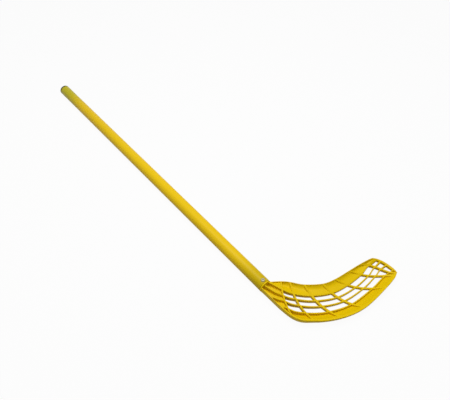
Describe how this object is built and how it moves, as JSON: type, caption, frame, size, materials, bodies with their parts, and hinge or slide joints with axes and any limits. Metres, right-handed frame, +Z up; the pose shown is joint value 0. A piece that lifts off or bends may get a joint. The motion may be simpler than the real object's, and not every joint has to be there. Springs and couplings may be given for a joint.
{
  "type": "plastic indoor hockey stick",
  "caption": "Light plastic hockey stick: straight tube shaft with an end cap, and a dished, ribbed, open-lattice blade moulding held in the tube by a blind rivet.",
  "frame": {"origin": "middle of the base of the bounding box, on the surface that the stick lies on", "axes": "+X from the shaft towards the blade's toe, +Y along the shaft towards the end cap, +Z up, out of the blade's hollow face"},
  "size_m": [0.2204, 0.9322, 0.0268],
  "materials": {
    "shaft": "satin",
    "blade": "satin",
    "cap": "matt",
    "rivet": "bare",
    "stem": "bare"
  },
  "bodies": {
    "root": {"shaft_tube": "shaft", "blade": "blade", "end_cap": "cap", "rivet_body": "rivet", "rivet_stem": "stem"}
  },
  "joints": []
}
